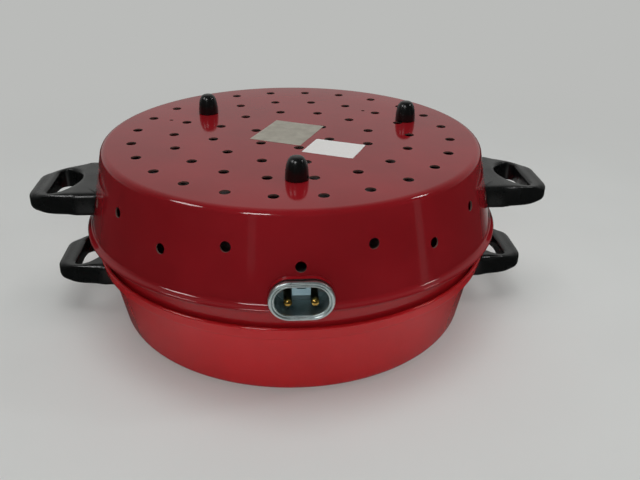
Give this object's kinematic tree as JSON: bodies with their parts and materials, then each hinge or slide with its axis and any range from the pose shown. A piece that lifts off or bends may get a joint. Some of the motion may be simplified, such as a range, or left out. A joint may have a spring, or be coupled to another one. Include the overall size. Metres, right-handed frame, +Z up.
{
  "type": "electric grill",
  "caption": "Round countertop grill: an enamelled pan with side handles and a lift-off perforated heating lid with feet, handles and a two-pin power inlet.",
  "frame": {"origin": "centre of the pan's flat underside, on the table", "axes": "+Z up, +X through the right-hand handles, -Y towards the power inlet"},
  "size_m": [0.454, 0.3608, 0.175],
  "materials": {
    "pan_enamel": "gloss vitreous enamel, orange red",
    "lid_enamel": "gloss vitreous enamel, deep red",
    "phenolic": "moulded black phenolic",
    "zinc_steel": "zinc plated",
    "brass": "turned",
    "bright_aluminium": "bright rolled",
    "heater_steel": "oxidised sheath",
    "white_ceramic": "unglazed",
    "plated_shroud": "bright zinc plate",
    "insulator": "moulded mineral-filled resin",
    "spring_steel": "bright spring strip",
    "foil": "satin foil",
    "paper": "matt sticker"
  },
  "bodies": {
    "pan": {"pan_shell": "pan_enamel", "pan_handle_left": "phenolic", "pan_handle_right": "phenolic", "pan_handle_screws": "zinc_steel", "pan_handle_inserts": "brass"},
    "lid": {"lid_shell": "lid_enamel", "lid_handle_left": "phenolic", "lid_handle_right": "phenolic", "lid_handle_screws": "zinc_steel", "lid_handle_inserts": "brass", "foot_front": "phenolic", "foot_right": "phenolic", "foot_left": "phenolic", "foot_studs": "zinc_steel", "reflector_spacers": "zinc_steel", "reflector_plate": "bright_aluminium", "reflector_nuts": "zinc_steel", "heater_tube": "heater_steel", "heater_bushes": "white_ceramic", "heater_terminals": "zinc_steel", "heater_clips": "zinc_steel", "heater_clip_rivets": "zinc_steel", "inlet_shroud": "plated_shroud", "inlet_insulator": "insulator", "inlet_pin_left": "brass", "inlet_pin_right": "brass", "earth_contact": "spring_steel", "inlet_bracket": "zinc_steel", "inlet_rivets": "zinc_steel", "link_strap_left": "brass", "link_strap_right": "brass", "terminal_nuts": "brass", "rating_plate": "foil", "paper_label": "paper"}
  },
  "joints": [
    {"name": "lid_lift", "type": "slide", "parent": "pan", "child": "lid", "axis": [0, 0, 1], "range_m": [0, 0.2]}
  ]
}
